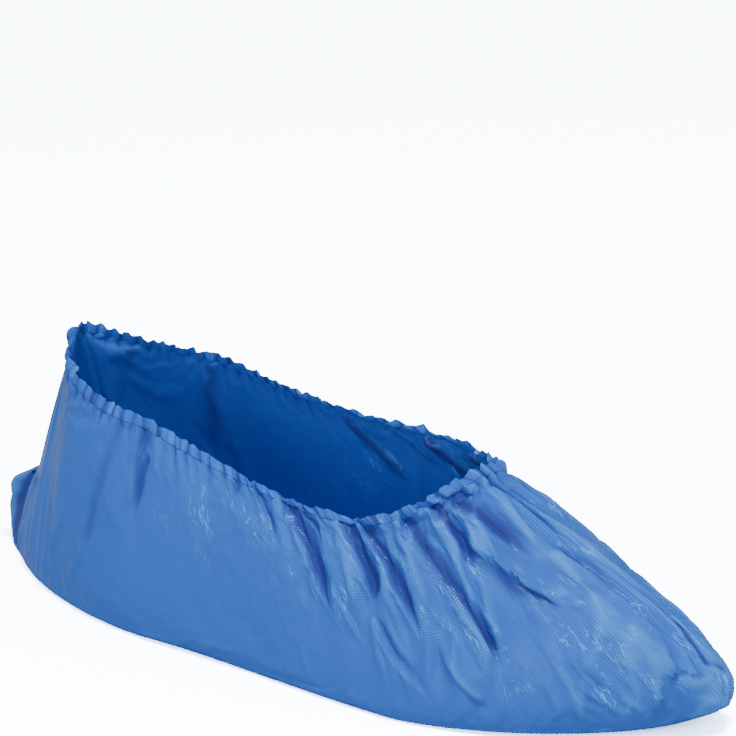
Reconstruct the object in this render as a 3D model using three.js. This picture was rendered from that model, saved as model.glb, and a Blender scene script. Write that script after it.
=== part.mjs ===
// Ankle-high disposable shoe cover, in the shape it takes on a shoe, with the foot taken out.
// A bag of thin embossed film is open at the top, where a gathered hem with an elastic in it
// closes round the ankle. The film drapes from the hem to the sole in folds that fan out over
// the instep, and the bag's two welded ends stand out as a dog-ear at the toe and one at the heel.
// Millimetres. +X runs to the toe, +Z up, and the side called near is -Y.
import * as THREE from "three";

// ---- Driving dimensions ----
const WALL = 1.0; // film thickness of this solid model
const HEM_GAP = 0.6; // clearance between the film's top edge and the hem
const HEM_TALL = 4.6; // hem section along the film
const HEM_THICK = 3.6; // hem section across the film
const HEM_SIDES = 8;
const HEM_TANGENT = 0.04; // share of the drop that sets the direction the hem stands in
const LEVELS = 14; // steps from the hem down to the sole's edge
const FRONT_END = 0.22; // share of the way round at which the toe curve ends
const HEEL_START = 0.34; // share of the way round at which the heel curve begins

// Stations round each side, toe to heel: closest over the instep folds and at the heel's dog-ear.
const STATION_RUNS = [
  { until: 0.27, steps: 44 },
  { until: 0.47, steps: 13 },
  { until: 0.5, steps: 4 },
];

// Plan of each section, hem to sole edge: the toe's tip, the ball and heel-side corners, the heel.
const PLAN = [
  { toeX: 62.0, ballX: 6, ballY: 36.0, sideX: -80, sideY: 33.0, heelX: -131.5 },
  { toeX: 74.0, ballX: 18, ballY: 41.0, sideX: -79, sideY: 38.0, heelX: -136.5 },
  { toeX: 98.0, ballX: 30, ballY: 46.5, sideX: -77, sideY: 42.5, heelX: -142.0 },
  { toeX: 124.0, ballX: 39, ballY: 51.5, sideX: -74, sideY: 46.0, heelX: -147.5 },
  { toeX: 147.0, ballX: 46, ballY: 55.5, sideX: -71, sideY: 49.0, heelX: -153.0 },
  { toeX: 161.0, ballX: 49, ballY: 57.2, sideX: -70, sideY: 50.5, heelX: -157.5 },
  { toeX: 164.0, ballX: 49, ballY: 57.5, sideX: -70, sideY: 50.0, heelX: -160.0 },
  { toeX: 159.5, ballX: 49, ballY: 55.5, sideX: -70, sideY: 47.5, heelX: -160.5 },
];

// Heights of the same sections, the roundness of their ends (2 is an ellipse, less is more
// pointed), how far the instep rolls down towards the far side for each mm across, and how fast
// the near line falls away from the toe.
const RISE = [
  { toeZ: 87.0, ballZ: 69.0, sideZ: 86.0, heelZ: 103, toeRound: 2.9, heelRound: 2.0, roll: -0.22, fall: 2.4 },
  { toeZ: 81.5, ballZ: 61.0, sideZ: 72.5, heelZ: 85, toeRound: 2.4, heelRound: 2.0, roll: -0.16, fall: 2.0 },
  { toeZ: 69.0, ballZ: 50.5, sideZ: 56.0, heelZ: 65, toeRound: 2.0, heelRound: 1.95, roll: -0.11, fall: 1.6 },
  { toeZ: 55.8, ballZ: 36.5, sideZ: 39.0, heelZ: 44, toeRound: 1.85, heelRound: 1.9, roll: -0.08, fall: 1.35 },
  { toeZ: 42.6, ballZ: 22.0, sideZ: 23.0, heelZ: 26, toeRound: 1.75, heelRound: 1.8, roll: -0.05, fall: 1.2 },
  { toeZ: 28.0, ballZ: 11.0, sideZ: 11.5, heelZ: 12, toeRound: 1.7, heelRound: 1.72, roll: -0.02, fall: 1.2 },
  { toeZ: 17.0, ballZ: 3.0, sideZ: 3.2, heelZ: 4, toeRound: 1.5, heelRound: 1.65, roll: 0, fall: 1.2 },
  { toeZ: 8.0, ballZ: 0.0, sideZ: 0.0, heelZ: 0, toeRound: 1.42, heelRound: 1.6, roll: 0, fall: 1.2 },
];

// The far rim rides a little higher over the ankle than the near one.
const FAR_RIM = { lift: 7, round: 0.2, reach: 0.1, fall: 5, mostRound: 2.0 };

// How fast the side line falls away from the heel, and the far line from the toe.
const SIDE_FALL = 1.6;
const FAR_FALL = 1.2;

// The bag's welded corners: how far from the middle each stands, its middle and reach down the drop, how
// abruptly it begins and ends, and its half thickness.
const DOG_EARS = [
  { end: -1, stands: 166.4, middle: 1, reach: 0.515, edge: 22, half: 7.5 },
  { end: 1, stands: 165.2, middle: 0.86, reach: 0.085, edge: 5, half: 9 },
];

// Main folds: where each starts at the hem and where it lands (share of the way round, toe 0,
// near side 0.25, heel 0.5, far side 0.75), from how far down the drop to how far, how high its
// ridge stands (a valley is negative) and its half width.
const FOLDS = [
  { at: 0.03, lands: 0.012, from: 0.02, to: 0.3, height: -2.0, half: 4.5 },
  { at: 0.06, lands: 0.042, from: 0.02, to: 0.4, height: 1.6, half: 5 },
  { at: 0.088, lands: 0.08, from: 0.0, to: 0.22, height: -2.4, half: 4.5 },
  { at: 0.106, lands: 0.07, from: 0.03, to: 0.46, height: 2.4, half: 5 },
  { at: 0.118, lands: 0.094, from: 0.06, to: 0.42, height: -4.0, half: 6 },
  { at: 0.136, lands: 0.112, from: 0.0, to: 0.52, height: 2.8, half: 6 },
  { at: 0.157, lands: 0.147, from: 0.0, to: 0.44, height: -4.2, half: 6 },
  { at: 0.178, lands: 0.162, from: 0.0, to: 0.5, height: 2.2, half: 7 },
  { at: 0.196, lands: 0.186, from: 0.02, to: 0.48, height: -2.6, half: 4.5 },
  { at: 0.205, lands: 0.18, from: 0.0, to: 0.58, height: 2.6, half: 5 },
  { at: 0.214, lands: 0.212, from: 0.0, to: 0.62, height: -4.2, half: 5 },
  { at: 0.224, lands: 0.2, from: 0.03, to: 0.74, height: 3.0, half: 6 },
  { at: 0.245, lands: 0.241, from: 0.0, to: 0.42, height: -2.6, half: 5.5 },
  { at: 0.259, lands: 0.236, from: 0.06, to: 0.54, height: 2.0, half: 7 },
  { at: 0.278, lands: 0.276, from: 0.02, to: 0.28, height: -2.0, half: 6 },
  { at: 0.335, lands: 0.34, from: 0.04, to: 0.36, height: -2.0, half: 7 },
  { at: 0.362, lands: 0.398, from: 0.02, to: 0.8, height: -1.6, half: 8 },
  { at: 0.43, lands: 0.44, from: 0.0, to: 0.4, height: -1.4, half: 8 },
  { at: 0.58, lands: 0.56, from: 0.0, to: 0.45, height: -1.4, half: 8 },
  { at: 0.65, lands: 0.63, from: 0.0, to: 0.5, height: -1.6, half: 8 },
  { at: 0.73, lands: 0.735, from: 0.0, to: 0.4, height: -2.2, half: 6 },
  { at: 0.765, lands: 0.78, from: 0.0, to: 0.55, height: 2.2, half: 6 },
  { at: 0.79, lands: 0.8, from: 0.0, to: 0.5, height: -3.2, half: 5 },
  { at: 0.82, lands: 0.84, from: 0.02, to: 0.6, height: 2.4, half: 6 },
  { at: 0.85, lands: 0.865, from: 0.0, to: 0.5, height: -3.4, half: 5.5 },
  { at: 0.88, lands: 0.9, from: 0.02, to: 0.5, height: 2.2, half: 6 },
  { at: 0.91, lands: 0.93, from: 0.0, to: 0.45, height: -2.8, half: 5 },
  { at: 0.945, lands: 0.965, from: 0.02, to: 0.4, height: 1.8, half: 5 },
  { at: 0.975, lands: 0.985, from: 0.0, to: 0.3, height: -1.8, half: 4 },
];

// A fold rises from a share of its height at its start and dies out towards its end.
const FOLD_FADE = { start: 0.55, rise: 0.25, fall: 0.5, margin: 0.05 };
// Length round the film, at the hem and at the sole's edge.
const GIRTH = { hem: 478, sole: 703 };

// Gathers of the hem: one ruffle to every four stations, dying out down the film.
const GATHER = { stations: 4, height: 1.2, reach: 0.07 };

const smooth = (t) => t * t * (3 - 2 * t);
const clamp01 = (t) => Math.min(Math.max(t, 0), 1);
const mix = (a, b, t) => a + (b - a) * t;

// The section at a share v of the drop, by a Catmull-Rom curve through the rows of both tables.
const ROWS = PLAN.map((row, i) => ({ ...row, ...RISE[i] }));

function sectionAt(v) {
  const last = ROWS.length - 1;
  const t = clamp01(v) * last;
  const i = Math.min(Math.floor(t), last - 1);
  const f = t - i;
  const section = {};
  for (const key of Object.keys(ROWS[0])) {
    const b = ROWS[i][key];
    const c = ROWS[i + 1][key];
    const a = i > 0 ? ROWS[i - 1][key] : 2 * b - c;
    const d = i + 2 <= last ? ROWS[i + 2][key] : 2 * c - b;
    const bend = (2 * a - 5 * b + 4 * c - d) * f * f + (3 * b - a - 3 * c + d) * f * f * f;
    section[key] = 0.5 * (2 * b + (c - a) * f + bend);
  }
  return section;
}

// The draped film before its folds: station u round the section, 0 at the toe, at drop v.
function drape(u, v) {
  const s = sectionAt(v);
  const round = ((u % 1) + 1) % 1;
  const near = round <= 0.5;
  const half = near ? round : 1 - round;
  const point = new THREE.Vector3();
  if (half <= FRONT_END) {
    const turn = ((half / FRONT_END) * Math.PI) / 2;
    const power = 2 / (near ? s.toeRound : Math.min(s.toeRound, FAR_RIM.mostRound));
    point.x = mix(s.ballX, s.toeX, Math.cos(turn) ** power);
    point.y = s.ballY * Math.sin(turn) ** power;
    point.z = mix(s.toeZ, s.ballZ, Math.sin(turn) ** (near ? s.fall : FAR_FALL));
    point.z += s.roll * (near ? -point.y : point.y) * Math.cos(turn) ** 2;
  } else if (half < HEEL_START) {
    const along = (half - FRONT_END) / (HEEL_START - FRONT_END);
    point.x = mix(s.ballX, s.sideX, along);
    point.y = mix(s.ballY, s.sideY, smooth(along));
    point.z = mix(s.ballZ, s.sideZ, along ** SIDE_FALL);
  } else {
    const turn = clamp01((half - HEEL_START) / (0.5 - HEEL_START)) * (Math.PI / 2);
    const power = 2 / s.heelRound;
    point.x = mix(s.sideX, s.heelX, Math.sin(turn) ** power);
    point.y = s.sideY * Math.max(Math.cos(turn), 0) ** power;
    point.z = mix(s.sideZ, s.heelZ, 1 - Math.cos(turn));
  }
  if (near) {
    point.y = -point.y;
  } else {
    const beside = Math.exp(-(((half - FAR_RIM.round) / FAR_RIM.reach) ** 2));
    point.z += FAR_RIM.lift * (1 - v) ** FAR_RIM.fall * beside;
  }
  for (const ear of DOG_EARS) {
    if (Math.sign(point.x) !== ear.end) continue;
    const across = Math.exp(-((point.y / ear.half) ** 2));
    const down = Math.exp(-(Math.abs((v - ear.middle) / ear.reach) ** ear.edge));
    point.x += (ear.end * ear.stands - point.x) * across * down;
  }
  return point;
}

// Outward unit normal of the draped film.
function outward(u, v) {
  const step = 1e-3;
  const round = drape(u + step, v).sub(drape(u - step, v));
  const down = drape(u, Math.min(v + step, 1)).sub(drape(u, Math.max(v - step, 0)));
  return down.cross(round).normalize().negate();
}

// How far the folds push the film out at a station, and the gathers on top of them.
function foldHeight(u, v, station) {
  let height = 0;
  for (const fold of FOLDS) {
    if (v < fold.from - FOLD_FADE.margin || v > fold.to + FOLD_FADE.margin) continue;
    const along = clamp01((v - fold.from) / (fold.to - fold.from));
    const line = mix(fold.at, fold.lands, along);
    const off = (((u - line + 1.5) % 1) - 0.5) * mix(GIRTH.hem, GIRTH.sole, v);
    const rising = mix(FOLD_FADE.start, 1, smooth(clamp01(along / FOLD_FADE.rise)));
    const fading = smooth(clamp01((1 - along) / FOLD_FADE.fall));
    height += fold.height * rising * fading * Math.exp(-((off / fold.half) ** 2));
  }
  const ruffle = Math.cos((2 * Math.PI * station) / GATHER.stations);
  return height + GATHER.height * ruffle * Math.exp(-v / GATHER.reach);
}

// Stations for one side, then mirrored for the other.
function stationShares() {
  const side = [0];
  for (const run of STATION_RUNS) {
    const start = side[side.length - 1];
    for (let i = 1; i <= run.steps; i++) side.push(mix(start, run.until, i / run.steps));
  }
  const far = side.slice(1, -1).reverse().map((share) => 1 - share);
  return [...side, ...far];
}

const SHARES = stationShares();
const COUNT = SHARES.length;

// Outer and inner film surfaces as rings of points, one ring to a level.
function filmRings() {
  const outer = [];
  for (let level = 0; level <= LEVELS; level++) {
    const v = level / LEVELS;
    outer.push(
      SHARES.map((u, station) => {
        const lift = foldHeight(u, v, station);
        return drape(u, v).addScaledVector(outward(u, v), lift);
      }),
    );
  }
  const inner = outer.map((ring, level) =>
    ring.map((point, station) => {
      const next = ring[(station + 1) % COUNT];
      const before = ring[(station + COUNT - 1) % COUNT];
      const below = outer[Math.min(level + 1, LEVELS)][station];
      const above = outer[Math.max(level - 1, 0)][station];
      const round = next.clone().sub(before);
      if (level === LEVELS) {
        const inward = new THREE.Vector3(round.y, -round.x, 0).normalize();
        return point.clone().addScaledVector(inward, WALL).add(new THREE.Vector3(0, 0, WALL));
      }
      const inward = below.clone().sub(above).cross(round).normalize();
      return point.clone().addScaledVector(inward, WALL);
    }),
  );
  return { outer, inner };
}

// A named mesh of a list of points and of the triangles that join them.
function meshOf(name, points, triangles, material) {
  const geometry = new THREE.BufferGeometry();
  const flat = points.flatMap((point) => [point.x, point.y, point.z]);
  geometry.setAttribute("position", new THREE.Float32BufferAttribute(flat, 3));
  geometry.setIndex(triangles);
  geometry.computeVertexNormals();
  const mesh = new THREE.Mesh(geometry, material);
  mesh.name = name;
  return mesh;
}

// The film bag: outer skin down to the sole, sole, and the same inside, joined at the top edge.
function filmBody(rings, material) {
  const points = [...rings.outer.flat(), ...rings.inner.flat()];
  const innerStart = rings.outer.length * COUNT;
  const triangles = [];
  const quad = (a, b, c, d) => triangles.push(a, c, b, a, d, c);
  for (let level = 0; level < LEVELS; level++) {
    for (let i = 0; i < COUNT; i++) {
      const j = (i + 1) % COUNT;
      const top = level * COUNT;
      const low = top + COUNT;
      quad(top + i, low + i, low + j, top + j);
      quad(innerStart + top + i, innerStart + top + j, innerStart + low + j, innerStart + low + i);
    }
  }
  for (let i = 0; i < COUNT; i++) {
    const j = (i + 1) % COUNT;
    quad(i, j, innerStart + j, innerStart + i);
  }
  const edge = LEVELS * COUNT;
  for (let i = 0; i < COUNT / 2; i++) {
    const strip = [i, i + 1, COUNT - i - 1, (COUNT - i) % COUNT];
    const [a, b, c, d] = strip;
    if (b !== c) triangles.push(edge + a, edge + b, edge + c);
    if (a !== d) triangles.push(edge + a, edge + c, edge + d);
    const up = innerStart + edge;
    if (b !== c) triangles.push(up + a, up + c, up + b);
    if (a !== d) triangles.push(up + a, up + d, up + c);
  }
  return meshOf("film_body", points, triangles, material);
}

// The gathered hem: a ruffled ring with the elastic inside, just above the film's top edge.
function elasticHem(rings, material) {
  const points = [];
  for (let i = 0; i < COUNT; i++) {
    const outer = rings.outer[0][i];
    const inner = rings.inner[0][i];
    const upward = drape(SHARES[i], 0).sub(drape(SHARES[i], HEM_TANGENT)).normalize();
    const across = outer.clone().sub(inner).normalize();
    across.addScaledVector(upward, -across.dot(upward)).normalize();
    const centre = outer.clone().add(inner).multiplyScalar(0.5);
    const seat = Math.abs(upward.dot(outer.clone().sub(centre)));
    centre.addScaledVector(upward, seat + HEM_GAP + HEM_TALL / 2);
    for (let side = 0; side < HEM_SIDES; side++) {
      const turn = (2 * Math.PI * side) / HEM_SIDES;
      const point = centre.clone().addScaledVector(upward, (Math.cos(turn) * HEM_TALL) / 2);
      points.push(point.addScaledVector(across, (Math.sin(turn) * HEM_THICK) / 2));
    }
  }
  const triangles = [];
  for (let i = 0; i < COUNT; i++) {
    const j = (i + 1) % COUNT;
    for (let side = 0; side < HEM_SIDES; side++) {
      const next = (side + 1) % HEM_SIDES;
      const a = i * HEM_SIDES + side;
      const b = i * HEM_SIDES + next;
      const c = j * HEM_SIDES + next;
      const d = j * HEM_SIDES + side;
      triangles.push(a, c, b, a, d, c);
    }
  }
  return meshOf("elastic_hem", points, triangles, material);
}

const film = new THREE.MeshStandardMaterial({ color: 0x4e7dbc, roughness: 0.35, metalness: 0 });
const hem = new THREE.MeshStandardMaterial({ color: 0x4472b4, roughness: 0.4, metalness: 0 });

const rings = filmRings();
const cover = new THREE.Group();
cover.name = "shoe_cover";
cover.add(filmBody(rings, film), elasticHem(rings, hem));

// The part's origin is the middle of its box, on the floor.
const box = new THREE.Box3().setFromObject(cover, true);
const centre = box.getCenter(new THREE.Vector3());
for (const mesh of cover.children) mesh.geometry.translate(-centre.x, -centre.y, -box.min.z);

export default cover;
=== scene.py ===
# An ankle-high disposable shoe cover, as it sits on a shoe, with the foot taken out.
# A bag of thin embossed blue film with a gathered, elasticated mouth. It stands on its sole.
import math

import bpy
import numpy as np
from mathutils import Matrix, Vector


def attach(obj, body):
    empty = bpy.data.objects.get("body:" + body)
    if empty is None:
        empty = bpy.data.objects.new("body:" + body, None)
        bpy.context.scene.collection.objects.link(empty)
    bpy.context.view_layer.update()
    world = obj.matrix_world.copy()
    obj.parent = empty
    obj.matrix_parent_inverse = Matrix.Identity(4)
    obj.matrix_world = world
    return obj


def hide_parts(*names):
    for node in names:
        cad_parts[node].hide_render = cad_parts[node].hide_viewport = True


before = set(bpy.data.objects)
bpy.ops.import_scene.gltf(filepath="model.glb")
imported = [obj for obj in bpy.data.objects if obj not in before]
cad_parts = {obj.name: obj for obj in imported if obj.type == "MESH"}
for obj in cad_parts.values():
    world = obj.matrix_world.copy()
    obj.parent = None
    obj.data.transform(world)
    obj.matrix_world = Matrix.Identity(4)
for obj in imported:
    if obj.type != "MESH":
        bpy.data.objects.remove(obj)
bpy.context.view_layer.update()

# ---- The film bag ----
# One skin of low-density polyethylene film about 0.04 mm thick: a flat bag folded at the sole, welded
# up both ends and embossed with tiny diamonds. It is drawn as a sheet wrapped to the shape it takes
# over a work shoe, and then left to buckle and crumple as film does.
MM = 0.001
# Rows from the hem down to the sole's edge, in millimetres, heel at -X and toe at +X: where the toe,
# ball, side and heel are, the toe's roll (below 0 lifts its near side), how full the toe and heel are
# in plan, and how late the line falls from the toe to the ball.
FILM_ROWS = [
    dict(toe_x=62, ball_x=6, ball_y=36, side_x=-80, side_y=33, heel_x=-131.5, roll=-0.22,
         toe_z=87, ball_z=69, side_z=86, heel_z=103, toe_round=2.9, heel_round=2.0, fall=2.4),
    dict(toe_x=74, ball_x=18, ball_y=41, side_x=-79, side_y=38, heel_x=-136.5, roll=-0.16,
         toe_z=81.5, ball_z=61, side_z=72.5, heel_z=85, toe_round=2.4, heel_round=2.0, fall=2.0),
    dict(toe_x=98, ball_x=30, ball_y=46.5, side_x=-77, side_y=42.5, heel_x=-142, roll=-0.11,
         toe_z=69, ball_z=50.5, side_z=56, heel_z=65, toe_round=2.0, heel_round=1.95, fall=1.6),
    dict(toe_x=124, ball_x=39, ball_y=51.5, side_x=-74, side_y=46, heel_x=-147.5, roll=-0.08,
         toe_z=55.8, ball_z=36.5, side_z=39, heel_z=44, toe_round=1.85, heel_round=1.9, fall=1.35),
    dict(toe_x=147, ball_x=46, ball_y=55.5, side_x=-71, side_y=49, heel_x=-153, roll=-0.05,
         toe_z=42.6, ball_z=22, side_z=23, heel_z=26, toe_round=1.75, heel_round=1.8, fall=1.2),
    dict(toe_x=161, ball_x=49, ball_y=57.2, side_x=-70, side_y=50.5, heel_x=-157.5, roll=-0.02,
         toe_z=28, ball_z=11, side_z=11.5, heel_z=12, toe_round=1.7, heel_round=1.72, fall=1.2),
    dict(toe_x=164, ball_x=49, ball_y=57.5, side_x=-70, side_y=50, heel_x=-160, roll=0,
         toe_z=17, ball_z=3, side_z=3.2, heel_z=4, toe_round=1.5, heel_round=1.65, fall=1.2),
    dict(toe_x=159.5, ball_x=49, ball_y=55.5, side_x=-70, side_y=47.5, heel_x=-160.5, roll=0,
         toe_z=8, ball_z=0, side_z=0, heel_z=0, toe_round=1.42, heel_round=1.6, fall=1.2),
]
# The shares of the way round where the toe's curve ends and the heel's begins, on either side.
FRONT_END, HEEL_START = 0.22, 0.34
# How late the line climbs from the ball to the side, and how late it falls on the toe's far half.
SIDE_FALL, FAR_FALL = 1.6, 1.2
# The far rim rides higher over the ankle than the near one, and its toe is rounder.
FAR_RIM = dict(lift=7, middle=0.2, reach=0.1, fall=5, most_round=2.0)
# The bag's welded corners: how far from the middle each stands, its middle and reach down the drop,
# how abruptly it begins and ends, and its half thickness.
CORNERS = [
    dict(end=-1, stands=166.4, middle=1, reach=0.515, edge=22, half=7.5),
    dict(end=1, stands=165.2, middle=0.86, reach=0.085, edge=5, half=9),
]
# Stations round the film, levels down it and rows from the sole's edge to its middle line.
STATIONS, LEVELS, SOLE_STEPS = 640, 64, 6


def eased(t):
    """0 to 1 with a soft start and a soft end."""
    return t * t * (3 - 2 * t)


def film_section(v):
    """The row at a share v of the drop, on a Catmull-Rom curve through FILM_ROWS."""
    keys = list(FILM_ROWS[0])
    rows = np.array([[row[k] for k in keys] for row in FILM_ROWS], float)
    last = len(rows) - 1
    t = np.clip(v, 0, 1) * last
    i = np.minimum(t.astype(int), last - 1)
    f = (t - i)[..., None]
    b, c = rows[i], rows[i + 1]
    a = np.where((i == 0)[..., None], 2 * b - c, rows[np.maximum(i - 1, 0)])
    d = np.where((i == last - 1)[..., None], 2 * c - b, rows[np.minimum(i + 2, last)])
    curve = 0.5 * (2 * b + (c - a) * f + (2 * a - 5 * b + 4 * c - d) * f**2 + (3 * b - a - 3 * c + d) * f**3)
    return {k: curve[..., j] for j, k in enumerate(keys)}


def draped(u, v):
    """Film before its folds, in metres: u is the share of the way round, toe 0, near side 0.25."""
    u, v = np.broadcast_arrays(np.asarray(u, float) % 1, np.asarray(v, float))
    s = film_section(v)
    near = u <= 0.5
    half = np.where(near, u, 1 - u)
    turn = np.clip(half / FRONT_END, 0, 1) * np.pi / 2
    power = 2 / np.where(near, s["toe_round"], np.minimum(s["toe_round"], FAR_RIM["most_round"]))
    toe_x = s["ball_x"] + (s["toe_x"] - s["ball_x"]) * np.abs(np.cos(turn)) ** power
    toe_y = s["ball_y"] * np.sin(turn) ** power
    toe_z = s["toe_z"] + (s["ball_z"] - s["toe_z"]) * np.sin(turn) ** np.where(near, s["fall"], FAR_FALL)
    toe_z = toe_z + s["roll"] * np.where(near, -toe_y, toe_y) * np.cos(turn) ** 2
    f = np.clip((half - FRONT_END) / (HEEL_START - FRONT_END), 0, 1)
    side_x = s["ball_x"] + (s["side_x"] - s["ball_x"]) * f
    side_y = s["ball_y"] + (s["side_y"] - s["ball_y"]) * eased(f)
    side_z = s["ball_z"] + (s["side_z"] - s["ball_z"]) * f**SIDE_FALL
    back = np.clip((half - HEEL_START) / (0.5 - HEEL_START), 0, 1) * np.pi / 2
    power = 2 / s["heel_round"]
    heel_x = s["side_x"] + (s["heel_x"] - s["side_x"]) * np.sin(back) ** power
    heel_y = s["side_y"] * np.maximum(np.cos(back), 0) ** power
    heel_z = s["side_z"] + (s["heel_z"] - s["side_z"]) * (1 - np.cos(back))
    at_toe, at_heel = half <= FRONT_END, half >= HEEL_START
    x = np.where(at_toe, toe_x, np.where(at_heel, heel_x, side_x))
    y = np.where(at_toe, toe_y, np.where(at_heel, heel_y, side_y)) * np.where(near, -1, 1)
    z = np.where(at_toe, toe_z, np.where(at_heel, heel_z, side_z))
    beside = np.exp(-(((half - FAR_RIM["middle"]) / FAR_RIM["reach"]) ** 2))
    rim = FAR_RIM["lift"] * (1 - v) ** FAR_RIM["fall"] * beside
    z = z + np.where(near, 0, rim)
    for corner in CORNERS:
        across = np.exp(-((y / corner["half"]) ** 2))
        down = np.exp(-np.abs((v - corner["middle"]) / corner["reach"]) ** corner["edge"])
        out = (corner["end"] * corner["stands"] - x) * across * down
        x = x + np.where(np.sign(x) == corner["end"], out, 0)
    return np.stack([x, y, z], -1) * MM


# The rows are drawn about the ankle, and the origin is in the middle of the cover's length.
ends = draped(np.linspace(0, 1, 721)[None], np.linspace(0, 1, 61)[:, None])[..., 0]
FORM_SHIFT = -(ends.max() + ends.min()) / 2


def centred(u, v):
    """The draped film with the middle of its length on the origin."""
    place = draped(u, v)
    place[..., 0] += FORM_SHIFT
    return place


# Stations are evenly spaced at this share of the drop, and levels crowd together towards the hem.
SPACED_AT, HEM_CROWDING = 0.35, 1.2


def film_grid(stations, levels):
    """Shares round and down, and places, for stations evenly spaced and levels closer by the hem."""
    fine = np.linspace(0, 1, 4001)
    path = draped(fine, np.full_like(fine, SPACED_AT))
    length = np.concatenate([[0], np.cumsum(np.linalg.norm(np.diff(path, axis=0), axis=1))])
    around = np.interp(np.linspace(0, length[-1], stations, endpoint=False), length, fine)
    u, v = np.meshgrid(around, np.linspace(0, 1, levels + 1) ** HEM_CROWDING)
    return u, v, centred(u, v)


def facing_out(place):
    """Outward unit normals of a ring-by-ring grid of points."""
    around = np.roll(place, -1, 1) - np.roll(place, 1, 1)
    normal = np.cross(around, np.gradient(place, axis=0))
    return normal / np.maximum(np.linalg.norm(normal, axis=-1, keepdims=True), 1e-12)


def arc_lengths(place):
    """Distances round each ring and down each column, in metres, from the toe line and the hem."""
    ring = np.linalg.norm(np.roll(place, -1, 1) - place, axis=-1)
    column = np.linalg.norm(np.diff(place, axis=0), axis=-1)
    around = np.concatenate([np.zeros((len(place), 1)), np.cumsum(ring, 1)], 1)
    down = np.concatenate([np.zeros((1, place.shape[1])), np.cumsum(column, 0)])
    return around, down


# How much of a fold's width is left where it fades away, and the depth at which the painted shade in a hollow
# is darkest.
NARROWEST, DARK_DEPTH = 0.35, 2.2


def pleat(place, normal, points, crest=0, depth=0, left=6, step=2.2, right=7, lean=0.2, sharp=0.85,
          start=0.1, end=0.35, shade=None):
    """Shift and hollow of one fold over a grid, along a line of (u, v) points from the hem down.

    The film climbs over left mm to a crest on the line, drops over the next step mm to its depth and
    comes back over right mm. The crest leans over the hollow, and the more sharp it is the more
    peaked. The fold fades and narrows over the start and end shares of its line. Its hollow gets
    painted shade as dark as shade says, and otherwise the darker the deeper it is, down to DARK_DEPTH mm.
    """
    line = np.array(points, float)
    t = np.linspace(0, 1, 4 * len(line))
    knots = np.linspace(0, 1, len(line))
    spine = centred(np.interp(t, knots, line[:, 0]), np.interp(t, knots, line[:, 1]))
    best = np.full(place.shape[:-1], 1e9)
    side = np.zeros_like(best)
    share = np.zeros_like(best)
    over = np.zeros(place.shape)
    for k in range(len(spine) - 1):
        along = spine[k + 1] - spine[k]
        f = np.clip(((place - spine[k]) @ along) / (along @ along), 0, 1)
        gap = place - (spine[k] + f[..., None] * along)
        distance = np.linalg.norm(gap, axis=-1)
        closer = distance < best
        best = np.where(closer, distance, best)
        side = np.where(closer, np.einsum("...i,...i", np.cross(along, gap), normal), side)
        share = np.where(closer, (k + f) / (len(spine) - 1), share)
        over = np.where(closer[..., None], np.cross(normal, along / np.linalg.norm(along)), over)
    fade = eased(np.clip(share / start, 0, 1)) * eased(np.clip((1 - share) / end, 0, 1))
    narrow = NARROWEST + (1 - NARROWEST) * fade
    x = np.clip(best / (left * narrow * MM), 0, 1)
    climb = sharp * (1 - x) ** 2 + (1 - sharp) * (1 - eased(x))
    drop = eased(np.clip(best / (step * narrow * MM), 0, 1))
    back = 1 - eased(np.clip((best / MM - step * narrow) / (right * narrow), 0, 1))
    ahead = side > 0
    height = np.where(ahead, crest * (1 - drop) - depth * drop * back, crest * climb)
    lean = lean * (crest + depth) * np.where(ahead, 1 - drop, climb**1.5)
    # The hollow's painted shade: set by shade when it is given, and by the fold's depth otherwise.
    hollow_shade = np.where(ahead, drop * back, 0) * (min(depth / DARK_DEPTH, 1) if shade is None else shade)
    shift = normal * (height * fade)[..., None] + over * (lean * fade)[..., None]
    return shift * MM, hollow_shade * fade


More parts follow.
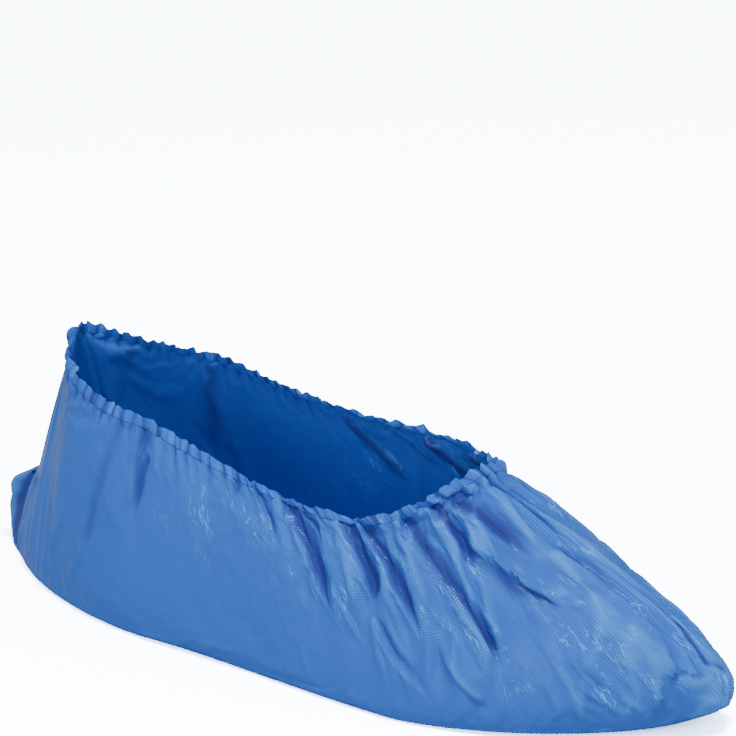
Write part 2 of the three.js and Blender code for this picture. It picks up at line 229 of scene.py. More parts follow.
# Main folds, near side first, from the toe back. Each stands over the hollow on the toe's side of
# it; a line drawn from the sole up has its hollow on the heel's side instead.
FOLDS = [
    dict(points=[(.013, .10), (.0115, .18), (.0095, .21), (.004, .26), (.001, .33)],
         crest=0.8, depth=1.4, right=6),
    dict(points=[(.031, .0), (.0285, .08), (.026, .13), (.0235, .18), (.021, .26), (.018, .34)],
         crest=1.0, depth=1.7, right=4, start=0.05),
    dict(points=[(.053, 0), (.050, .05), (.047, .10)], crest=0.6, depth=1.3, right=4),
    dict(points=[(.045, .29), (.042, .34), (.037, .38), (.031, .44)], crest=1.0, depth=1.2, right=6),
    dict(points=[(.0785, 0), (.077, .05), (.073, .10)], crest=0.8, depth=2.3, right=3.5, start=0.02),
    dict(points=[(.100, 0), (.097, .07), (.0935, .11), (.089, .135), (.0855, .17), (.079, .23),
                 (.071, .27), (.065, .33)],
         crest=1.2, depth=2.3, left=9, step=3, right=11, start=0.03),
    dict(points=[(.073, .43), (.0765, .40), (.080, .36), (.085, .335), (.090, .30), (.0945, .25),
                 (.1005, .21), (.108, .17)],
         crest=1.8, depth=1.6, left=10, step=3.4, right=8, start=0.3, end=0.15),
    dict(points=[(.1205, 0), (.1185, .10), (.1185, .16), (.119, .21), (.1195, .30)],
         crest=1.3, depth=3.0, left=8, right=7, start=0.03),
    dict(points=[(.1215, .28), (.1215, .40), (.1215, .50), (.119, .60)], crest=0.8, left=3, step=3),
    dict(points=[(.1385, .28), (.137, .35), (.136, .38), (.135, .43), (.132, .475), (.129, .51)],
         crest=1.2, left=5, step=6, lean=0),
    dict(points=[(.159, 0), (.155, .10), (.1545, .20), (.153, .30), (.151, .385), (.150, .42),
                 (.148, .46), (.147, .50), (.147, .57)],
         crest=1.7, depth=2.7, left=9, step=3.2, right=5, start=0.02, end=0.2),
    dict(points=[(.160, .68), (.166, .64), (.1715, .58), (.174, .52), (.1745, .45), (.177, .38)],
         crest=1.1, depth=0.7, left=6, right=6),
    dict(points=[(.2005, 0), (.2003, .10), (.197, .20), (.1965, .30), (.191, .40), (.187, .50)],
         crest=1.5, depth=2.6, left=7, step=2.8, right=5, start=0.02),
    dict(points=[(.2143, 0), (.2157, .10), (.2185, .20), (.220, .30), (.2215, .38)],
         crest=1.4, depth=3.2, left=6, right=8, start=0.02, end=0.2),
    dict(points=[(.2245, .40), (.2225, .47), (.219, .53), (.212, .57), (.207, .60), (.198, .66), (.188, .80)],
         crest=1.6, depth=1.1, left=9, step=4, right=6, start=0.15),
    dict(points=[(.2245, .12), (.227, .25), (.228, .33), (.227, .42)], crest=1.2, left=5, step=5),
    dict(points=[(.241, .30), (.2365, .40), (.2335, .46), (.231, .54)],
         crest=1.0, depth=0.4, left=4, right=5),
    dict(points=[(.240, 0), (.2385, .10), (.236, .18)], crest=0.8, depth=1.7, left=4, right=3, start=0.02),
    dict(points=[(.251, 0), (.2495, .10), (.249, .20), (.249, .30), (.2465, .40), (.238, .48)],
         crest=1.5, depth=2.7, left=8, right=7, start=0.02),
    dict(points=[(.268, 0), (.266, .12), (.263, .28)], crest=0.9, depth=1.3, left=6, right=5, start=0.02),
    dict(points=[(.285, 0), (.284, .14)], crest=0.6, depth=1.2, left=5, right=5, start=0.02),
    dict(points=[(.345, 0), (.348, .16), (.347, .40)],
         crest=0.5, depth=1.3, left=6, step=4, right=6, start=0.02),
    dict(points=[(.369, 0), (.383, .30), (.395, .62)],
         crest=0.4, depth=0.9, left=8, step=5, right=8, start=0.02),
    dict(points=[(.437, 0), (.447, .25)], depth=0.7, step=7, right=8),
    dict(points=[(.587, 0), (.567, .45)], depth=1.0, step=7, right=8),
    dict(points=[(.656, 0), (.637, .50)], depth=1.2, step=7, right=8),
    dict(points=[(.736, 0), (.741, .40)], crest=0.8, depth=1.6, right=6, start=0.02),
    dict(points=[(.765, 0), (.780, .55)], crest=2.0, depth=1.0, right=6, start=0.02),
    dict(points=[(.795, 0), (.805, .50)], crest=0.8, depth=2.3, right=5, start=0.02),
    dict(points=[(.820, .02), (.840, .60)], crest=2.2, depth=0.9, right=6),
    dict(points=[(.855, 0), (.870, .50)], crest=0.8, depth=2.4, right=6, start=0.02),
    dict(points=[(.880, .02), (.900, .50)], crest=2.0, depth=0.9, right=6),
    dict(points=[(.914, 0), (.934, .45)], crest=0.8, depth=2.0, right=5, start=0.02),
    dict(points=[(.945, .02), (.965, .40)], crest=1.6, depth=0.7, right=5),
    dict(points=[(.978, 0), (.988, .30)], crest=0.6, depth=1.3, right=4, start=0.02),
]

# The hem's gathers: uneven little waves that die out a centimetre or two down the film.
GATHERS, GATHER_HEIGHT, GATHER_REACH = 166, 0.65 * MM, 10 * MM
noise = np.random.default_rng(11)


def uneven_knots(count):
    """Shares of the way round where that many uneven waves begin and end."""
    knots = np.concatenate([[0], np.cumsum(noise.gamma(4.0, 0.8, count) + 0.6)])
    return knots / knots[-1]


GATHER_KNOTS = uneven_knots(GATHERS)
GATHER_STRENGTH = noise.uniform(0.2, 1.4, len(GATHER_KNOTS))
GATHER_STRENGTH[-1] = GATHER_STRENGTH[0]


def gathers(share):
    """Height of the gathers at a share of the hem's length, from -1.3 to 1.3."""
    phase = np.interp(share, GATHER_KNOTS, np.arange(len(GATHER_KNOTS)))
    return np.cos(np.pi * phase) * np.interp(share, GATHER_KNOTS, GATHER_STRENGTH)


def film_start(stations, levels):
    """A grid of the film: its shares, form and normals, and its folded places with their hollows."""
    u, v, place = film_grid(stations, levels)
    normal = facing_out(place)
    around, down = arc_lengths(place)
    shift, hollow_shade = np.zeros(place.shape), np.zeros(u.shape)
    # Each fold shifts the film and gives its hollow painted shade.
    for fold in FOLDS:
        move, dip_shade = pleat(place, normal, **fold)
        shift, hollow_shade = shift + move, np.maximum(hollow_shade, dip_shade)
    wave = gathers(around[0, :-1] / around[0, -1])
    fading = np.exp(-down / GATHER_REACH)
    shift = shift + normal * (GATHER_HEIGHT * wave * fading)[..., None]
    # Painted shade in the troughs of the gathers, fading down the film faster than the gathers do.
    hollow_shade = np.maximum(hollow_shade, np.clip(-wave, 0, 1) * fading**2)
    return u, v, place, normal, place + shift, hollow_shade


# Where the film has been crushed in the hand: middle (u, v), reach and the share it is crushed by.
# All of it is crushed a little, less and less down to a share of the drop, and none of it along a
# strip at the sole's edge.
LIGHTLY_CRUSHED, LIGHTLY_DOWN_TO, SMOOTH_STRIP, WELL_CRUSHED = 0.008, 0.8, 0.08, 0.03
CRUSHED = [
    dict(u=0.13, v=0.32, reach_u=0.11, reach_v=0.30, share=0.027),
    dict(u=0.06, v=0.55, reach_u=0.07, reach_v=0.22, share=0.032),
    dict(u=0.28, v=0.25, reach_u=0.05, reach_v=0.18, share=0.016),
    dict(u=0.00, v=0.85, reach_u=0.04, reach_v=0.12, share=0.030),
    dict(u=0.86, v=0.38, reach_u=0.13, reach_v=0.30, share=0.040),
    dict(u=0.50, v=0.70, reach_u=0.04, reach_v=0.25, share=0.035),
]


def round_from(u, middle):
    """The share of the way round from a middle, the shorter way, from -0.5 to 0.5."""
    return (u - middle + 0.5) % 1 - 0.5


def patch_strength(du, v, patch):
    """1 in the middle of a patch of the film and falling away from it."""
    return np.exp(-((du / patch["reach_u"]) ** 2) - ((v - patch["v"]) / patch["reach_v"]) ** 2)


def crushed_share(u, v):
    """The share that the film is crushed by."""
    share = LIGHTLY_CRUSHED * np.clip(1 - v / LIGHTLY_DOWN_TO, 0, 1)
    for patch in CRUSHED:
        share = share + patch["share"] * patch_strength(round_from(u, patch["u"]), v, patch)
    return share * np.clip((1 - v) / SMOOTH_STRIP, 0, 1)


def tube_mesh(name, place):
    """A mesh object of a ring-by-ring grid of points."""
    levels, stations = place.shape[:2]
    index = np.arange(levels * stations).reshape(levels, stations)
    top, low = index[:-1], index[1:]
    quads = np.stack([top, low, np.roll(low, -1, 1), np.roll(top, -1, 1)], -1).reshape(-1, 4)
    data = bpy.data.meshes.new(name)
    data.from_pydata(place.reshape(-1, 3).tolist(), [], quads.tolist())
    piece = bpy.data.objects.new(name, data)
    bpy.context.scene.collection.objects.link(piece)
    return piece


# Film is settled at this many times its size, where the cloth solver is steadier.
CLOTH_SCALE = 10.0


def settle(start, own_size, frames, bending, shoe_form=None):
    """Lets the film buckle towards its own size, held at the hem and the sole, over a shoe's form."""
    levels, stations = start.shape[:2]
    cloth = tube_mesh("cloth", start * CLOTH_SCALE)
    cloth.shape_key_add(name="start")
    size_key = cloth.shape_key_add(name="own_size")
    size_key.data.foreach_set("co", (own_size * CLOTH_SCALE).ravel())
    size_key.value = 0
    held = cloth.vertex_groups.new(name="held")
    held.add(list(range(stations)), 1, "REPLACE")
    held.add(list(range((levels - 3) * stations, levels * stations)), 1, "REPLACE")
    weld = cloth.modifiers.new("weld", "WELD")
    weld.merge_threshold = 1e-7
    film_cloth = cloth.modifiers.new("film", "CLOTH")
    rules = film_cloth.settings
    rules.quality, rules.mass, rules.air_damping = 5, 0.1, 2
    rules.tension_stiffness = rules.compression_stiffness = 15
    rules.shear_stiffness, rules.bending_stiffness = 8, bending
    rules.tension_damping = rules.compression_damping = rules.shear_damping = 5
    rules.bending_damping = 0.5
    rules.vertex_group_mass = "held"
    rules.rest_shape_key = size_key
    rules.effector_weights.gravity = 0
    film_cloth.collision_settings.use_collision = shoe_form is not None
    film_cloth.collision_settings.use_self_collision = False
    made = [cloth]
    if shoe_form is not None:
        shoe = tube_mesh("shoe", shoe_form * CLOTH_SCALE)
        shoe.modifiers.new("solid", "COLLISION")
        shoe.collision.thickness_outer, shoe.collision.thickness_inner = 0.005, 0.05
        shoe.collision.cloth_friction, shoe.collision.damping = 5, 0.1
        film_cloth.collision_settings.distance_min = 0.005
        made.append(shoe)
    scene = bpy.context.scene
    film_cloth.point_cache.frame_start, film_cloth.point_cache.frame_end = 1, frames
    for number in range(1, frames + 1):
        scene.frame_set(number)
    settled_film = cloth.evaluated_get(bpy.context.evaluated_depsgraph_get())
    settled = np.zeros(start.size)
    settled_film.data.vertices.foreach_get("co", settled)
    scene.frame_set(1)
    for piece in made:
        bpy.data.objects.remove(piece, do_unlink=True)
    return settled.reshape(start.shape) / CLOTH_SCALE


def finer(grid, rows_at, columns_at):
    """A grid of points read between its own points, on Catmull-Rom curves both ways."""
    def along(values, at, axis, closed):
        count = values.shape[axis]
        i = np.floor(at).astype(int)
        f = (at - i).reshape([-1 if k == axis else 1 for k in range(values.ndim)])
        pick = (lambda k: k % count) if closed else (lambda k: np.clip(k, 0, count - 1))
        a, b, c, d = (np.take(values, pick(i + k), axis) for k in (-1, 0, 1, 2))
        bend = (2 * a - 5 * b + 4 * c - d) * f**2 + (3 * b - a - 3 * c + d) * f**3
        return 0.5 * (2 * b + (c - a) * f + bend)
    return along(along(grid, rows_at, 0, False), columns_at, 1, True)


def evened(grid, around, down):
    """A grid's slow part: two running means over that many stations and levels."""
    for _ in range(2):
        for axis, half, mode in ((1, around, "wrap"), (0, down, "edge")):
            padding = [(0, 0)] * grid.ndim
            padding[axis] = (half + 1, half)
            total = np.cumsum(np.pad(grid, padding, mode=mode), axis)
            count = grid.shape[axis]
            high = np.take(total, np.arange(2 * half + 1, 2 * half + 1 + count), axis)
            grid = (high - np.take(total, np.arange(count), axis)) / (2 * half + 1)
    return grid


# How far the film may stand proud of its draped form: a little everywhere, more in the gathers.
PROUD = dict(all=1.6 * MM, more=3.2 * MM, u=0.165, v=0.25, reach_u=0.10, reach_v=0.45)


def held_in(moved, outward, u, v):
    """Eases back what stands further out than it may."""
    limit = PROUD["all"] + PROUD["more"] * patch_strength(u - PROUD["u"], v, PROUD)
    out = np.einsum("ijk,ijk->ij", moved, outward)
    return moved + outward * np.where(out > 0, limit * np.tanh(out / limit) - out, 0)[..., None]


# The toe and heel are stretched smooth, and move less than the rest when the film settles.
KEPT_ENDS = [
    dict(u=0.0, reach=0.05, top=0.35, full=0.60, share=0.8),
    dict(u=0.47, reach=0.09, top=0.1, full=0.40, share=0.85),
]
# Creases pressed into the film: the toe's weld and the corner folded under it, and at the heel.
# Their hollows get painted shade, strongest along the toe's weld and on the heel's welded corner.
CREASES = [
    dict(points=[(.007, .53), (.010, .575), (.0157, .623), (.0195, .685)],
         depth=1.3, step=1.4, right=2.6, start=0.15, end=0.02, shade=1.1),
    dict(points=[(.0195, .685), (.0105, .715), (.001, .75), (-.018, .77)],
         depth=1.1, step=1.4, right=2.6, start=0.02, shade=1.0),
    dict(points=[(.0195, .685), (.031, .68), (.037, .655), (.042, .65), (.049, .665), (.053, .69),
                 (.057, .73), (.060, .80)],
         depth=1.0, step=1.6, right=3.4, start=0.02, shade=0.75),
    dict(points=[(.054, .58), (.0625, .68), (.0655, .715), (.072, .86)], crest=0.9, left=3, step=5),
    dict(points=[(.083, .41), (.05, .43), (.020, .47), (.005, .51), (.006, .56)],
         crest=0.8, left=4, step=6, sharp=0.7),
    dict(points=[(.368, .10), (.385, .45), (.400, .80)], crest=0.8, left=6, step=3, depth=0.6, right=4),
    dict(points=[(.337, .10), (.350, .36)], crest=0.4, depth=1.2, left=3, right=3),
    dict(points=[(.474, .99), (.476, .72), (.481, .46)],
         depth=1.3, step=2.5, right=16, start=0.02, end=0.1, shade=1.1),
    dict(points=[(.560, .05), (.545, .70)], crest=0.8, left=5, step=5),
    dict(points=[(.643, .05), (.658, .75)], depth=0.9, step=5, right=4),
]
# The folds drawn on the film settle over a shoe's form that stands a little inside it. Only the quick
# part of how the film moves is kept, and a share of that, so that it stays on its own form.
CLOTH_STATIONS, CLOTH_LEVELS, SHOE_GAP, JITTER = 480, 52, 5 * MM, 0.15 * MM
OWN_FOLDS, SETTLED_SHARE = 1.35, 0.45
u, v, form, outward, skin, hollow_shades = film_start(STATIONS, LEVELS)
_, cloth_v, cloth_form, cloth_out, start, _ = film_start(CLOTH_STATIONS, CLOTH_LEVELS)
jitter = noise.normal(0, JITTER, start.shape[:2]) * (cloth_v < 0.93)
inset = SHOE_GAP * np.clip((1 - cloth_v) / 0.1, 0.15, 1)
# The shoe's form does with every third level and every fourth station.
rows_kept = sorted(set(range(0, CLOTH_LEVELS + 1, 3)) | {CLOTH_LEVELS})
shoe_form = (cloth_form - cloth_out * inset[..., None])[rows_kept][:, ::4]
own_size = cloth_form + (start - cloth_form) * OWN_FOLDS
settled = settle(start + cloth_out * jitter[..., None], own_size,
                 frames=10, bending=4, shoe_form=shoe_form)
rows_at = np.linspace(0, CLOTH_LEVELS, LEVELS + 1)
columns_at = np.arange(STATIONS) * (CLOTH_STATIONS / STATIONS)
moved = settled - start
moved = SETTLED_SHARE * finer(moved - evened(moved, around=13, down=8), rows_at, columns_at)
for end in KEPT_ENDS:
    near_end = np.exp(-((round_from(u, end["u"]) / end["reach"]) ** 2))
    low_down = eased(np.clip((v - end["top"]) / (end["full"] - end["top"]), 0, 1))
    moved = moved * (1 - (end["share"] * near_end * low_down)[..., None])
skin = form + held_in(skin + moved - form, outward, u, v)
normal = facing_out(skin)
# Each crease dents the film and adds painted shade to its hollow.
for crease in CREASES:
    move, dip_shade = pleat(form, outward, lean=0, **crease)
    skin, hollow_shades = skin + move, np.maximum(hollow_shades, dip_shade)
# Crushed film is wider and longer than its place, so it crumples, from a grain that starts it off.
GRAIN_HEIGHT, CRUSHED_DOWN = 0.4 * MM, 0.75
crushed = crushed_share(u, v)
grain = noise.normal(0, 1, u.shape)
for _ in range(2):
    grain = (grain + np.roll(grain, 1, 1) + np.roll(grain, -1, 1)) / 3
    grain[1:-1] = (grain[2:] + grain[1:-1] + grain[:-2]) / 3
grain_there = GRAIN_HEIGHT / grain.std() * np.clip(crushed / WELL_CRUSHED, 0.1, 1.2)
grain *= grain_there * np.clip((1 - v) / 0.1, 0, 1)
own_size = skin.copy()
own_size[..., :2] *= (1 + crushed)[..., None]
drop = np.linalg.norm(np.diff(skin, axis=0), axis=-1)
drop = drop * (1 + CRUSHED_DOWN * (crushed[1:] + crushed[:-1]) / 2)
level = np.hypot(np.diff(own_size[..., 0], axis=0), np.diff(own_size[..., 1], axis=0))
fall = np.sqrt(np.maximum(drop**2 - level**2, 0)) * np.sign(np.diff(skin[..., 2], axis=0))
own_size[..., 2] = np.concatenate([np.zeros((1, STATIONS)), np.cumsum(fall, 0)])
own_size[..., 2] += skin[-1:, :, 2] - own_size[-1:, :, 2]
crumpled = settle(skin + normal * grain[..., None], own_size, frames=8, bending=0.1) - skin
skin = skin + crumpled - evened(crumpled, around=9, down=5)
# No point stands out from its neighbours like a thorn.
THORN = 0.75 * MM
for _ in range(3):
    beside = (np.roll(skin, 1, 1) + np.roll(skin, -1, 1))[1:-1]
    off = skin[1:-1] - (beside + skin[2:] + skin[:-2]) / 4
    far = np.linalg.norm(off, axis=-1, keepdims=True)
    skin[1:-1] -= off * np.clip(1 - THORN / np.maximum(far, THORN), 0, 1)
skin[..., 2] = np.maximum(skin[..., 2], 0)

# The sole closes the bag: each near station meets its far one on the middle line. It hangs a
# little under the toe's lifted edge, and lies on the floor elsewhere.
SAG, FLOOR_GAP = 1.5 * MM, 0.4 * MM
edge = skin[-1]
steps = []
for k in range(1, SOLE_STEPS + 1):
    t = k / SOLE_STEPS
    row = edge.copy()
    row[:, 1] *= 1 - t
    row[:, 2] = np.maximum(edge[:, 2] - SAG * (1 - (1 - t) ** 2), FLOOR_GAP * (1 - (1 - t) ** 4))
    steps.append(row)
everything = np.concatenate([skin, np.array(steps)], 0)


def wrapped_grid(name, place):
    """A flat grid wrapped into a tube, open along one side, and each vertex's ring and station."""
    rings, stations = place.shape[:2]
    bpy.ops.object.select_all(action="DESELECT")
    bpy.ops.mesh.primitive_grid_add(x_subdivisions=stations, y_subdivisions=rings - 1, size=1)
    piece = bpy.context.object
    piece.name = name
    flat = np.zeros(len(piece.data.vertices) * 3)
    piece.data.vertices.foreach_get("co", flat)
    flat = flat.reshape(-1, 3)
    station = np.rint((flat[:, 0] + 0.5) * stations).astype(int)
    ring = np.rint((0.5 - flat[:, 1]) * (rings - 1)).astype(int)
    piece.data.vertices.foreach_set("co", place[ring, station % stations].ravel())
    return piece, ring, station


def painted(piece, ring, station, uv, layers):
    """Gives a wrapped grid its own coordinates and the layers that its paint reads."""
    corner = np.zeros(len(piece.data.loops), int)
    piece.data.loops.foreach_get("vertex_index", corner)
    piece.data.uv_layers[0].name = "sheet"
    piece.data.uv_layers["sheet"].data.foreach_set("uv", uv[ring[corner], station[corner]].ravel())
    for name, values in layers.items():
        layer = piece.data.attributes.new(name, "FLOAT", "POINT")
        layer.data.foreach_set("value", values[ring, station % values.shape[1]].ravel())
    piece.data.update()


def sewn(piece):
    """Closes the side of a wrapped grid and turns its faces outwards."""
    bpy.ops.object.mode_set(mode="EDIT")
    bpy.ops.mesh.select_all(action="SELECT")
    bpy.ops.mesh.remove_doubles(threshold=1e-6)
    bpy.ops.mesh.normals_make_consistent(inside=False)
    bpy.ops.object.mode_set(mode="OBJECT")
    bpy.ops.object.shade_smooth()


film, ring, station = wrapped_grid("film_bag", everything)
# The sheet's own coordinates, in metres round the bag and down from its mouth, carry the emboss.
BAG_GIRTH, WIDEST_LEVEL = 0.72, -8
girth = arc_lengths(form)[0][WIDEST_LEVEL]
edge_share = girth / girth[-1]
depth = arc_lengths(np.concatenate([form, everything[LEVELS + 1:]], 0))[1]
depth = np.concatenate([depth, depth[:, :1]], 1)
sheet_uv = np.stack([np.broadcast_to(edge_share * BAG_GIRTH, depth.shape), depth], -1)
# How deep in a fold the film lies, and how crushed it is, colour and roughen it: painted shade
# goes deep in a fold and painted highlight on a raised crest.
DEEP_FOLD = 2.5 * MM
slow = evened(skin, around=8, down=5)
fold_depth = np.clip(np.einsum("ijk,ijk->ij", slow - skin, facing_out(slow)) / DEEP_FOLD, -1, 1)
# The fold depth layer sets painted shade and painted highlight; the hollow layer carries the painted shade in
# the hollows of the folds, creases and gathers.
layers = dict(fold_depth=fold_depth, crushed=crushed_share(u, v) / WELL_CRUSHED, hollow_shade=hollow_shades)
for name, part in layers.items():
    layers[name] = np.concatenate([part, np.repeat(part[-1:], SOLE_STEPS, 0)], 0)
painted(film, ring, station, sheet_uv, layers)
sewn(film)
# The film's thickness goes inwards. The real wall is too thin to model, so this one is thicker.
FILM_WALL = 0.3 * MM
wall = film.modifiers.new("wall", "SOLIDIFY")
wall.thickness = FILM_WALL
wall.offset = -1
bpy.ops.object.modifier_apply(modifier="wall")
for vertex in film.data.vertices:
    vertex.co.z = max(vertex.co.z, 0)


class Wire:
    """A shader node's output. Arithmetic on it adds Math nodes to the same material."""

    def __init__(self, paint, socket):
        self.paint, self.socket = paint, socket

    def math(self, operation, *values):
        return self.paint.node("ShaderNodeMath", dict(operation=operation), *values)

    def __add__(self, other):
        return self.math("ADD", self, other)

    def __radd__(self, other):
        return self.math("ADD", other, self)

    def __sub__(self, other):
        return self.math("SUBTRACT", self, other)

    def __rsub__(self, other):
        return self.math("SUBTRACT", other, self)

    def __mul__(self, other):
        return self.math("MULTIPLY", self, other)

    def __rmul__(self, other):
        return self.math("MULTIPLY", other, self)

    def sine(self):
        return self.math("SINE", self)

    def size(self):
        return self.math("ABSOLUTE", self)

    def between(self, low, high):
        """0 below low, 1 above high, and smooth in between."""
        settings = dict(interpolation_type="SMOOTHSTEP")
        return self.paint.node("ShaderNodeMapRange", settings, self, low, high, 0.0, 1.0)


class Paint:
    """A material with a Principled shader and the nodes that feed it."""

    def __init__(self, name):
        self.material = bpy.data.materials.new(name)
        self.material.use_nodes = True
        self.tree = self.material.node_tree
        self.shader = self.tree.nodes["Principled BSDF"]

    def node(self, kind, settings, *inputs, output=0, **named):
        """Adds a node of that type with its settings, and values or wires for its sockets."""
        node = self.tree.nodes.new(kind)
        for key, value in settings.items():
            setattr(node, key, value)
        for key, value in [*enumerate(inputs), *((k.replace("_", " "), v) for k, v in named.items())]:
            self.feed(node.inputs[key], value)
        return Wire(self, node.outputs[output])

    def feed(self, socket, value):
        if isinstance(value, Wire):
            self.tree.links.new(value.socket, socket)
        else:
            socket.default_value = value

    def mix(self, share, first, second):
        """A colour that goes from the first to the second."""
        mixed = self.node("ShaderNodeMix", dict(data_type="RGBA"), share, output=2)
        for socket, colour in ((6, first), (7, second)):
            self.feed(mixed.socket.node.inputs[socket], colour if isinstance(colour, Wire) else (*colour, 1))
        return mixed

    def set(self, **values):
        """Feeds the shader's own sockets."""
        for key, value in values.items():
            self.feed(self.shader.inputs[key.replace("_", " ")], value)


# Its colours: painted shade at the bottom of a fold, the film's own blue, and painted highlight on
# crests, glints and crinkles; the pitch and depth of its diamonds, how deep a crinkle is, and how
# fine, per metre, its crushed patches, its crinkles and their breaks are.
FILM_SHADE, FILM_BLUE, FILM_HIGHLIGHT = (0.038, 0.050, 0.270), (0.043, 0.153, 0.592), (0.110, 0.410, 0.980)
EMBOSS_PITCH, EMBOSS_DEPTH, CRINKLE_DEPTH = BAG_GIRTH / 620, 0.027 * MM, 0.2 * MM
PATCHES_FINE, CRINKLES_FINE, BREAKS_FINE = 38.0, 440.0, 190.0
FILM_GLOSS_TINT = (0.35, 0.72, 1.0, 1)


def film_paint(name):
    """The blue film: glossy, embossed all over, crinkled where it is crushed, with painted shade in its folds
    and painted highlights on its crests, crinkles and diamonds.
    """
    paint = Paint(name)
    sheet = paint.node("ShaderNodeUVMap", dict(uv_map="sheet"))
    at = paint.node("ShaderNodeSeparateXYZ", {}, sheet)
    across, down = Wire(paint, at.socket.node.outputs["X"]), Wire(paint, at.socket.node.outputs["Y"])
    fold = paint.node("ShaderNodeAttribute", dict(attribute_name="fold_depth"), output="Fac")
    crushed = paint.node("ShaderNodeAttribute", dict(attribute_name="crushed"), output="Fac")
    hollow_shade = paint.node("ShaderNodeAttribute", dict(attribute_name="hollow_shade"), output="Fac")
    # Emboss: rows of tiny diamonds, pressed in by the roller.
    turn = math.pi / EMBOSS_PITCH
    diamonds = ((across + down) * turn).sine() * ((across - down) * turn).sine()
    # Crinkles: short sharp creases left by handling, in drifting patches, longer down than across.
    drawn_out = paint.node("ShaderNodeVectorMath", dict(operation="MULTIPLY"), sheet, (1.0, 0.28, 1.0))
    broad = paint.node("ShaderNodeTexNoise", {}, Vector=sheet, Scale=PATCHES_FINE, Detail=1.0)
    crinkle = paint.node("ShaderNodeTexNoise", {}, Vector=drawn_out, Scale=CRINKLES_FINE, Detail=1.0,
                         Distortion=0.1)
    broken = paint.node("ShaderNodeTexNoise", {}, Vector=drawn_out, Scale=BREAKS_FINE, Detail=0.0)
    patch = broad.between(0.42, 0.60) * crushed.between(0.25, 0.9)
    stroke = (1 - (crinkle - 0.5).size().between(0.0, 0.06)) * broken.between(0.50, 0.60) * patch
    crest = (0 - fold).between(0.3, 1.1)
    # Painted glints: the diamonds are lightened in crushed patches and on crushed crests.
    glint = diamonds.between(0.2, 0.95) * (patch + crest * crushed * 0.6)
    height = diamonds * EMBOSS_DEPTH + stroke * CRINKLE_DEPTH
    bump = paint.node("ShaderNodeBump", {}, Strength=1.0, Distance=1.0, Height=height)
    # Painted shade darkens the hollows and deep folds; painted highlight lightens the crests, the
    # glinting diamonds and the crinkles.
    painted_highlight = crest * 0.36 + glint * 0.6 + stroke
    painted_shade = (hollow_shade + fold * 0.3).between(0.02, 1.05)
    lit = paint.mix(painted_highlight, FILM_BLUE, FILM_HIGHLIGHT)
    paint.set(Base_Color=paint.mix(painted_shade, lit, FILM_SHADE), Roughness=0.2 - patch * 0.05, Normal=bump)
    paint.set(Specular_Tint=FILM_GLOSS_TINT, Specular_IOR_Level=0.15)
    return paint.material


film.data.materials.clear()
film.data.materials.append(film_paint("blue_film"))
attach(film, "root")
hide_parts("film_body")

# ---- The elastic hem ----
# The edge of the film is rolled into a casing about 4 mm deep round a thin elastic thread and
# welded shut. The thread gathers the mouth, so the casing flutes with the film below it.
HEM_STATIONS, HEM_SIDES = 960, 14
# How tall and thick it is, how far it laps the film's edge, and how far it leans in as it rises.
HEM_TALL, HEM_THICK, HEM_LAP, HEM_LEAN = 4.9 * MM, 0.9 * MM, 1.2 * MM, 0.12
# Its own ripples, which are smaller than the film's gathers and bunch up over the instep.
RIPPLES, RIPPLE_RUNS, HEM_RIPPLE, THROAT_BUNCHING, THROAT_REACH = 360, 61, 0.22 * MM, 0.5, 0.05
hem_share = np.arange(HEM_STATIONS) / HEM_STATIONS
hem_columns = hem_share * STATIONS


def along_hem(grid, level):
    """A grid of the film read round the hem, at a level."""
    return finer(grid[:4], np.array([level]), hem_columns)[0]


edge_row, edge_out = along_hem(skin, 0.0), along_hem(facing_out(skin), 1.0)
edge_up = edge_row - along_hem(skin, 2.5)
for _ in range(10):
    edge_up = (np.roll(edge_up, 1, 0) + edge_up + np.roll(edge_up, -1, 0)) / 3
    edge_out = (np.roll(edge_out, 1, 0) + edge_out + np.roll(edge_out, -1, 0)) / 3
edge_up /= np.linalg.norm(edge_up, axis=1, keepdims=True)
edge_out /= np.linalg.norm(edge_out, axis=1, keepdims=True)
hem_lengths = arc_lengths(skin[:2])[0][0]
hem_wave = gathers(np.interp(hem_columns, np.arange(STATIONS + 1), hem_lengths) / hem_lengths[-1])
ripple = np.cos(np.pi * np.interp(hem_share, uneven_knots(RIPPLES), np.arange(RIPPLES + 1)))
ripple = ripple * (0.6 + 0.4 * noise.uniform(-1, 1, RIPPLE_RUNS)[(hem_share * RIPPLE_RUNS).astype(int)])
ripple = (np.roll(ripple, 1) + 2 * ripple + np.roll(ripple, -1)) / 4
throat = 1 + THROAT_BUNCHING * np.exp(-((round_from(hem_share, 0) / THROAT_REACH) ** 2))
# The casing is a flat ring in section: a little taller on a crest, thicker low down, and fluted most
# along its top.
turn = np.arange(HEM_SIDES + 1)[:, None] * 2 * np.pi / HEM_SIDES
tall = HEM_TALL * (1 + 0.08 * hem_wave + 0.05 * ripple)
climb = tall * (0.5 - 0.5 * np.cos(turn))
swell = 0.5 * HEM_THICK * np.sin(turn) * (1 + 0.35 * np.cos(turn))
flute = HEM_RIPPLE * ripple * throat * (0.25 + 0.75 * climb / HEM_TALL)
aside = swell + flute - HEM_LEAN * climb
casing = edge_row + edge_up * (climb - HEM_LAP)[..., None] + edge_out * aside[..., None]
casing[-1] = casing[0]
hem, ring, station = wrapped_grid("hem_casing", casing)
around = np.arange(HEM_STATIONS + 1) * BAG_GIRTH / HEM_STATIONS
hem_uv = np.stack(np.broadcast_arrays(around, turn * HEM_TALL / np.pi), -1)
# The casing's flutes get painted shade in their troughs and painted highlight on their crests.
flute_depth = np.clip(-hem_wave * 0.6 - ripple * 0.5, -1, 1) + 0 * turn
layers = dict(fold_depth=flute_depth, crushed=0.5 + 0 * flute_depth, hollow_shade=np.maximum(flute_depth, 0))
painted(hem, ring, station, hem_uv, layers)
sewn(hem)
hem.data.materials.append(film_paint("hem_film"))
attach(hem, "root")
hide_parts("elastic_hem")

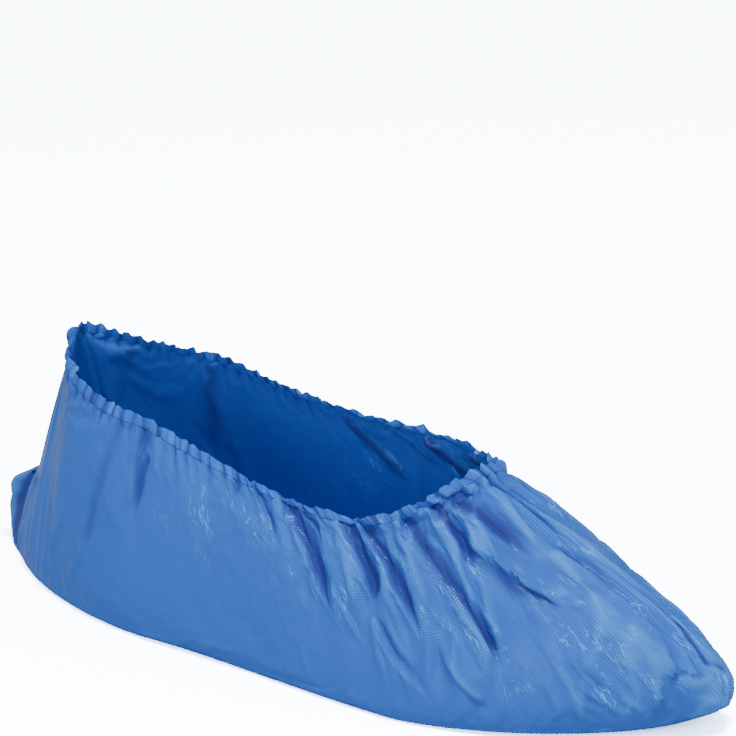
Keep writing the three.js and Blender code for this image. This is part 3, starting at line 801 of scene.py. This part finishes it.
# ---- Floor, light and camera ----
# A plain pale floor under a pale, faintly blue sky, both of which are seen as white. A small softbox
# overhead picks out the folds and a larger one in front fills the near side.
SKY_LIGHT, SHOWN_WHITE = 0.6, 11.0
FLOOR_GREY, SKY_TINT, LAMP_TINT = (0.5, 0.5, 0.5, 1), (0.66, 0.84, 1, 1), (0.88, 0.95, 1)
bpy.ops.object.select_all(action="DESELECT")
bpy.ops.mesh.primitive_plane_add(size=8)
floor = bpy.context.object
floor.name = "floor"
floor_paint = Paint("pale_floor")
seen = floor_paint.node("ShaderNodeLightPath", {}, output="Is Camera Ray")
matt = floor_paint.node("ShaderNodeBsdfDiffuse", {}, Color=FLOOR_GREY)
glow = floor_paint.node("ShaderNodeBsdfDiffuse", {}, Color=(SHOWN_WHITE, SHOWN_WHITE, SHOWN_WHITE, 1))
shown = floor_paint.node("ShaderNodeMixShader", {}, seen, matt, glow)
floor_paint.tree.links.new(shown.socket, floor_paint.tree.nodes["Material Output"].inputs["Surface"])
floor.data.materials.append(floor_paint.material)

sky = bpy.data.worlds.new("studio")
bpy.context.scene.world = sky
sky.use_nodes = True
light_path = sky.node_tree.nodes.new("ShaderNodeLightPath")
strength = sky.node_tree.nodes.new("ShaderNodeMapRange")
strength.inputs["To Min"].default_value, strength.inputs["To Max"].default_value = SKY_LIGHT, SHOWN_WHITE
sky.node_tree.links.new(light_path.outputs["Is Camera Ray"], strength.inputs["Value"])
sky.node_tree.links.new(strength.outputs["Result"], sky.node_tree.nodes["Background"].inputs["Strength"])
tint = sky.node_tree.nodes.new("ShaderNodeMix")
tint.data_type = "RGBA"
tint.inputs[6].default_value, tint.inputs[7].default_value = SKY_TINT, (1, 1, 1, 1)
sky.node_tree.links.new(light_path.outputs["Is Camera Ray"], tint.inputs[0])
sky.node_tree.links.new(tint.outputs[2], sky.node_tree.nodes["Background"].inputs["Color"])


def facing(place, aim):
    """The turn that points a lamp or a camera at its aim."""
    return (Vector(aim) - Vector(place)).to_track_quat("-Z", "Y").to_euler()


def softbox(name, place, aim, size, watts):
    """A square lamp of that size, pointed at its aim."""
    lamp = bpy.data.lights.new(name, "AREA")
    lamp.shape = "SQUARE"
    lamp.size = size
    lamp.energy = watts
    lamp.color = LAMP_TINT
    holder = bpy.data.objects.new(name, lamp)
    bpy.context.scene.collection.objects.link(holder)
    holder.location = place
    holder.rotation_euler = facing(place, aim)


softbox("key", (0.4, -0.3, 1.65), (0, 0, 0.05), 0.4, 22)
softbox("front", (0.1, -1.9, 0.75), (0, 0, 0.05), 0.8, 13)

# A long lens from well off, above the cover and in front of its near side.
CAMERA_PLACE, CAMERA_AIM = (0.92659, -1.54083, 0.92674), (-0.00946, 0.02471, 0.10421)
camera_data = bpy.data.cameras.new("camera")
camera_data.lens = 246.5
camera_data.sensor_width = 36
camera = bpy.data.objects.new("camera", camera_data)
bpy.context.scene.collection.objects.link(camera)
camera.location = CAMERA_PLACE
camera.rotation_euler = facing(CAMERA_PLACE, CAMERA_AIM)
bpy.context.scene.camera = camera
